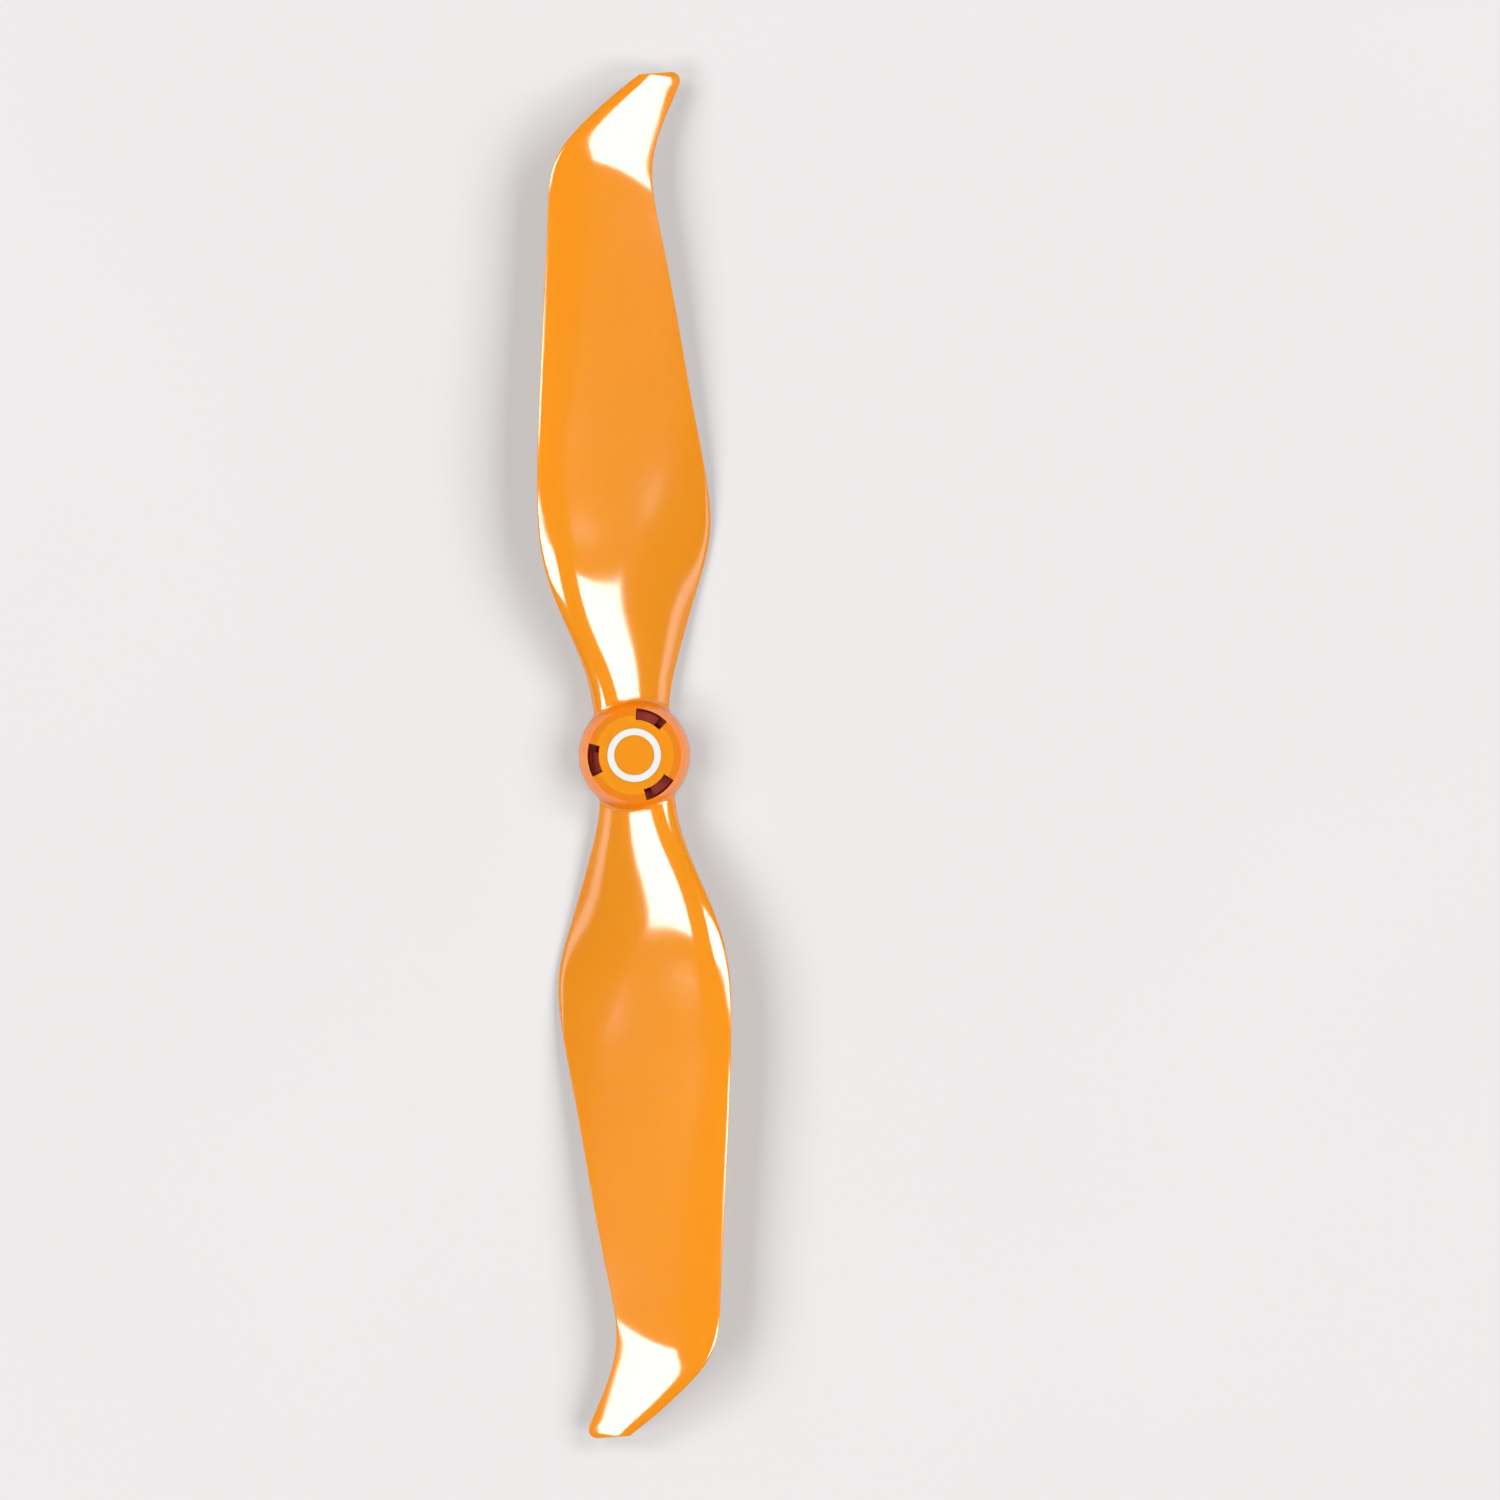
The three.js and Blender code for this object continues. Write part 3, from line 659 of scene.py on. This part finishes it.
def retaining_ring():
    wire = [
        (RETAINER_INNER, RETAINER_BOTTOM), (RETAINER_OUTER, RETAINER_BOTTOM),
        (RETAINER_OUTER, RETAINER_TOP), (RETAINER_INNER, RETAINER_TOP),
    ]
    opening = RETAINER_OPENING_DEG / 2
    angles = np.radians(np.linspace(opening, 360 - opening, 90))
    piece = swept("retainer_wire", rounded_profile(wire, RETAINER_EDGE), angles)
    smooth_below(piece, WIRE_CREASE_DEG)
    return piece


def spring(name, at):
    """A coil of round wire standing in its pocket."""
    rows = []
    for k in range(SPRING_STEPS + 1):
        t = k / SPRING_STEPS
        turn = 2 * math.pi * SPRING_TURNS * t
        height = SPRING_ENDS[0] + (SPRING_ENDS[1] - SPRING_ENDS[0]) * t
        out = np.array([math.cos(turn), math.sin(turn), 0])
        for i in range(SPRING_SIDES):
            round_wire = 2 * math.pi * i / SPRING_SIDES
            level = out * (SPRING_COIL_RADIUS + SPRING_WIRE_RADIUS * math.cos(round_wire))
            rise = height + SPRING_WIRE_RADIUS * math.sin(round_wire)
            rows.append(level + [at[0], at[1], rise])
    faces = []
    for k in range(SPRING_STEPS):
        here, there = k * SPRING_SIDES, (k + 1) * SPRING_SIDES
        for i in range(SPRING_SIDES):
            j = (i + 1) % SPRING_SIDES
            faces.append((here + i, here + j, there + j, there + i))
    faces.append(tuple(range(SPRING_SIDES)))
    faces.append(tuple(SPRING_STEPS * SPRING_SIDES + i for i in range(SPRING_SIDES))[::-1])
    piece = object_from(name, rows, faces)
    face_outwards(piece)
    smooth_below(piece, WIRE_CREASE_DEG)
    return piece


# ---------------------------------------------------------------- materials

def new_material(name):
    material = bpy.data.materials.new(name)
    material.use_nodes = True
    nodes = material.node_tree.nodes
    return material, nodes, material.node_tree.links, nodes["Principled BSDF"]


def noise(nodes, links, coordinates, scale, detail=2.0, roughness=0.5):
    node = nodes.new("ShaderNodeTexNoise")
    node.inputs["Scale"].default_value = scale
    node.inputs["Detail"].default_value = detail
    node.inputs["Roughness"].default_value = roughness
    links.new(coordinates, node.inputs["Vector"])
    return node.outputs["Fac"]


def ramp(nodes, links, source, low, high, start=0.3, end=0.7):
    """Maps a value onto a range of numbers."""
    node = nodes.new("ShaderNodeMapRange")
    node.inputs["From Min"].default_value = start
    node.inputs["From Max"].default_value = end
    node.inputs["To Min"].default_value = low
    node.inputs["To Max"].default_value = high
    links.new(source, node.inputs["Value"])
    return node.outputs["Result"]


def tinted(nodes, links, source, low, high):
    """Mixes two colours by a value."""
    node = nodes.new("ShaderNodeMix")
    node.data_type = "RGBA"
    node.inputs["A"].default_value = (*low, 1)
    node.inputs["B"].default_value = (*high, 1)
    links.new(source, node.inputs["Factor"])
    return node.outputs["Result"]


def bumped(nodes, links, shader, height, distance):
    node = nodes.new("ShaderNodeBump")
    node.inputs["Distance"].default_value = distance
    links.new(height, node.inputs["Height"])
    links.new(node.outputs["Normal"], shader.inputs["Normal"])


def object_place(nodes):
    return nodes.new("ShaderNodeTexCoord").outputs["Object"]


def mix_in_painted_shading(nodes, links, colour, mask, shading_colour):
    """Mixes a fixed colour over another one where the mask is 1."""
    node = nodes.new("ShaderNodeMix")
    node.data_type = "RGBA"
    links.new(colour, node.inputs["A"])
    node.inputs["B"].default_value = (*shading_colour, 1)
    links.new(mask, node.inputs["Factor"])
    return node.outputs["Result"]


def product(nodes, links, first, second):
    node = nodes.new("ShaderNodeMath")
    node.operation = "MULTIPLY"
    links.new(first, node.inputs[0])
    links.new(second, node.inputs[1])
    return node.outputs["Value"]


def radius_and_height(nodes, links, place):
    """Distance from the spin axis and height, in metres."""
    level = nodes.new("ShaderNodeVectorMath")
    level.operation = "MULTIPLY"
    level.inputs[1].default_value = (1, 1, 0)
    links.new(place, level.inputs[0])
    length = nodes.new("ShaderNodeVectorMath")
    length.operation = "LENGTH"
    links.new(level.outputs["Vector"], length.inputs[0])
    split = nodes.new("ShaderNodeSeparateXYZ")
    links.new(place, split.inputs["Vector"])
    return length.outputs["Value"], split.outputs["Z"]


# Radii and heights of the hub's painted shading: painted shade on the steep shoulder, and painted
# red bounce light inside the cavity.
SHOULDER_BEGINS = (HUB_FLAT_RADIUS, 8.3)
SHOULDER_ENDS = (8.7, 10.7)
INSIDE_RADIUS = (8.42, 8.52)
INSIDE_HEIGHT = (9.05, 9.35)


def hub_painted_shading(nodes, links, place, colour):
    """Painted shading on the hub: its steep shoulder is painted a deeper orange as shade, and its
    inside painted red as shade and light bounced round the orange cavity.
    """
    def fade(source, low, high, span):
        return ramp(nodes, links, source, low, high, span[0] * MM, span[1] * MM)

    radius, height = radius_and_height(nodes, links, place)
    rise = fade(radius, 0, 1, SHOULDER_BEGINS)
    fall = fade(radius, 1, 0, SHOULDER_ENDS)
    shoulder = product(nodes, links, rise, fall)
    # Painted shade: the steep shoulder gets a deeper orange than the flat top.
    colour = mix_in_painted_shading(nodes, links, colour, shoulder, (0.69, 0.172, 0.002))
    within = fade(radius, 1, 0, INSIDE_RADIUS)
    below = fade(height, 1, 0, INSIDE_HEIGHT)
    inside = product(nodes, links, within, below)
    # Painted shade and bounce light: the inside gets a deep red, though it is the same orange
    # moulding.
    return mix_in_painted_shading(nodes, links, colour, inside, (0.97, 0.055, 0.003))


def orange_nylon():
    material, nodes, links, shader = new_material("orange_nylon")
    place = object_place(nodes)
    cloud = ramp(nodes, links, noise(nodes, links, place, 45), 0, 1)
    colour = tinted(nodes, links, cloud, (0.558, 0.194, 0.002), (0.578, 0.204, 0.003))
    # Painted shading on the hub, laid over the nylon's own orange.
    colour = hub_painted_shading(nodes, links, place, colour)
    links.new(colour, shader.inputs["Base Color"])
    fine = noise(nodes, links, place, 900, 3)
    links.new(ramp(nodes, links, fine, 0.09, 0.115), shader.inputs["Roughness"])
    bumped(nodes, links, shader, noise(nodes, links, place, 1400, 2), 0.000003)
    shader.inputs["IOR"].default_value = 1.9
    shader.inputs["Subsurface Weight"].default_value = 0.5
    shader.inputs["Subsurface Radius"].default_value = (1.0, 0.5, 0.2)
    shader.inputs["Subsurface Scale"].default_value = 0.0025
    return material


def white_plastic():
    material, nodes, links, shader = new_material("white_plastic")
    place = object_place(nodes)
    cloud = ramp(nodes, links, noise(nodes, links, place, 300), 0, 1)
    colour = tinted(nodes, links, cloud, (0.463, 0.459, 0.449), (0.487, 0.482, 0.471))
    links.new(colour, shader.inputs["Base Color"])
    satin = ramp(nodes, links, noise(nodes, links, place, 2500), 0.28, 0.4)
    links.new(satin, shader.inputs["Roughness"])
    bumped(nodes, links, shader, noise(nodes, links, place, 3000), 0.000004)
    return material


def red_metal():
    material, nodes, links, shader = new_material("red_metal")
    place = object_place(nodes)
    grain = noise(nodes, links, place, 5000, 4, 0.6)
    cloud = ramp(nodes, links, grain, 0, 1)
    colour = tinted(nodes, links, cloud, (0.30, 0.045, 0.028), (0.36, 0.053, 0.034))
    links.new(colour, shader.inputs["Base Color"])
    shader.inputs["Metallic"].default_value = 0.6
    links.new(ramp(nodes, links, grain, 0.35, 0.5), shader.inputs["Roughness"])
    bumped(nodes, links, shader, grain, 0.00001)
    return material


def red_acetal():
    material, nodes, links, shader = new_material("red_acetal")
    place = object_place(nodes)
    grain = noise(nodes, links, place, 3500, 3)
    cloud = ramp(nodes, links, grain, 0, 1)
    colour = tinted(nodes, links, cloud, (0.85, 0.05, 0.01), (0.95, 0.06, 0.012))
    links.new(colour, shader.inputs["Base Color"])
    links.new(ramp(nodes, links, grain, 0.38, 0.52), shader.inputs["Roughness"])
    bumped(nodes, links, shader, grain, 0.000012)
    return material


def spring_steel():
    material, nodes, links, shader = new_material("spring_steel")
    place = object_place(nodes)
    grain = noise(nodes, links, place, 6000, 3)
    cloud = ramp(nodes, links, grain, 0, 1)
    colour = tinted(nodes, links, cloud, (0.50, 0.49, 0.47), (0.62, 0.61, 0.59))
    links.new(colour, shader.inputs["Base Color"])
    shader.inputs["Metallic"].default_value = 1.0
    links.new(ramp(nodes, links, grain, 0.18, 0.32), shader.inputs["Roughness"])
    bumped(nodes, links, shader, grain, 0.000005)
    return material


def floor_paper_painted_fill():
    material, nodes, links, shader = new_material("floor_paper_painted_fill")
    place = object_place(nodes)
    cloud = ramp(nodes, links, noise(nodes, links, place, 6), 0, 1)
    colour = tinted(nodes, links, cloud, (0.330, 0.332, 0.332), (0.340, 0.342, 0.342))
    links.new(colour, shader.inputs["Base Color"])
    shader.inputs["Roughness"].default_value = 0.7
    shader.inputs["Specular IOR Level"].default_value = 0.1
    # Painted fill light: the floor glows faintly pink, which lightens the shadows on it and tints
    # them like light bounced off the orange.
    shader.inputs["Emission Color"].default_value = (1.0, 0.94, 0.93, 1)
    shader.inputs["Emission Strength"].default_value = 0.21
    return material


def dress(piece, material):
    piece.data.materials.clear()
    piece.data.materials.append(material)


# ---------------------------------------------------------------- studio

CAMERA_AT = (20.2, 0.9, 5250.0)
FRAME_WIDTH = 261.9
SENSOR = 36.0
SUBJECT_HEIGHT = 7.0
CAMERA_REACH = 20.0
FLOOR_HALF = 9000.0
FLOOR_HEIGHT = -0.05
WORLD_COLOUR = (1, 0.88, 0.85, 1)
WORLD_STRENGTH = 0.13


def camera():
    data = bpy.data.cameras.new("camera")
    data.sensor_width = SENSOR
    data.lens = SENSOR * (CAMERA_AT[2] - SUBJECT_HEIGHT) / FRAME_WIDTH
    data.clip_end = CAMERA_REACH
    piece = bpy.data.objects.new("camera", data)
    piece.location = Vector(CAMERA_AT) * MM
    bpy.context.collection.objects.link(piece)
    bpy.context.scene.camera = piece


def floor(material):
    signs = [(-1, -1), (1, -1), (1, 1), (-1, 1)]
    corners = [(x * FLOOR_HALF, y * FLOOR_HALF, FLOOR_HEIGHT) for x, y in signs]
    piece = object_from("floor", corners, [(0, 1, 2, 3)])
    dress(piece, material)


# Lights, in metres: how high the softboxes lie, and each one's corners nearest and farthest from
# the axis.
SOFTBOX_HEIGHT = 6.0
SOFTBOX_NEAR = (2.37, 0.75)
SOFTBOX_FAR = (8.0, 3.62)
SOFTBOX_RADIANCE = 10.0
CARD_AT = 9.0
CARD_LENGTH = 6.0
CARD_BOTTOM = 1.7
CARD_TOP = 2.6
CARD_RADIANCE = 1.7


def softbox(name, low, high):
    """A softbox lying level over the propeller, between two corners."""
    data = bpy.data.lights.new(name, "AREA")
    data.shape = "RECTANGLE"
    data.size = abs(high[0] - low[0])
    data.size_y = abs(high[1] - low[1])
    data.energy = SOFTBOX_RADIANCE * math.pi * data.size * data.size_y
    piece = bpy.data.objects.new(name, data)
    piece.location = ((low[0] + high[0]) / 2, (low[1] + high[1]) / 2, SOFTBOX_HEIGHT)
    bpy.context.collection.objects.link(piece)


def side_card(x_side):
    """A dim upright white card beside the table, which the steep edges reflect."""
    data = bpy.data.lights.new("side_card", "AREA")
    data.shape = "RECTANGLE"
    data.size, data.size_y = CARD_LENGTH, CARD_TOP - CARD_BOTTOM
    data.energy = CARD_RADIANCE * math.pi * data.size * data.size_y
    piece = bpy.data.objects.new("side_card", data)
    piece.location = (x_side * CARD_AT, 0, (CARD_TOP + CARD_BOTTOM) / 2)
    piece.rotation_euler = (math.pi / 2, 0, x_side * math.pi / 2)
    bpy.context.collection.objects.link(piece)


def studio():
    side_card(1)
    side_card(-1)
    for x_side in (-1, 1):
        for y_side in (-1, 1):
            low = (x_side * SOFTBOX_NEAR[0], y_side * SOFTBOX_NEAR[1])
            high = (x_side * SOFTBOX_FAR[0], y_side * SOFTBOX_FAR[1])
            softbox("softbox", low, high)
    world = bpy.data.worlds.new("studio")
    world.use_nodes = True
    background = world.node_tree.nodes["Background"]
    background.inputs["Color"].default_value = WORLD_COLOUR
    background.inputs["Strength"].default_value = WORLD_STRENGTH
    bpy.context.scene.world = world
    bpy.context.scene.view_settings.view_transform = "Standard"


# ---------------------------------------------------------------- assembly

def stand_for(node, piece, body, material):
    """The fine piece stands for its CAD node and moves with its body."""
    dress(piece, material)
    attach(piece, body)
    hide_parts(node)


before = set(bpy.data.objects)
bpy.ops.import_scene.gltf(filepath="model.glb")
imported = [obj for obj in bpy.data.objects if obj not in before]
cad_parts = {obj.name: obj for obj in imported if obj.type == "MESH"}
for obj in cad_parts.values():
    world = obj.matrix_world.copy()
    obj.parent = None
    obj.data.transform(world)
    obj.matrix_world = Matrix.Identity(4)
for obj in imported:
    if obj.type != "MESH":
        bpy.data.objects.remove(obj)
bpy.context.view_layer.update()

camera()
studio()
floor(floor_paper_painted_fill())

orange = orange_nylon()
white = white_plastic()
metal = red_metal()
acetal = red_acetal()
steel = spring_steel()

stand_for("airscrew", airscrew(), "propeller", orange)
stand_for("marker_ring", marker_ring(), "propeller", white)
stand_for("claw_plate", claw_plate(), "motor_mount", metal)
stand_for("pressure_plate", pressure_plate(), "pressure", acetal)
stand_for("retaining_ring", retaining_ring(), "motor_mount", steel)
for number, slot_deg in enumerate(SLOT_ANGLES, 1):
    coil = spring(f"coil_{number}", on_circle(SPRING_CIRCLE, slot_deg + SPRING_OFFSET_DEG))
    stand_for(f"spring_{number}", coil, "motor_mount", steel)
    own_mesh(coil)
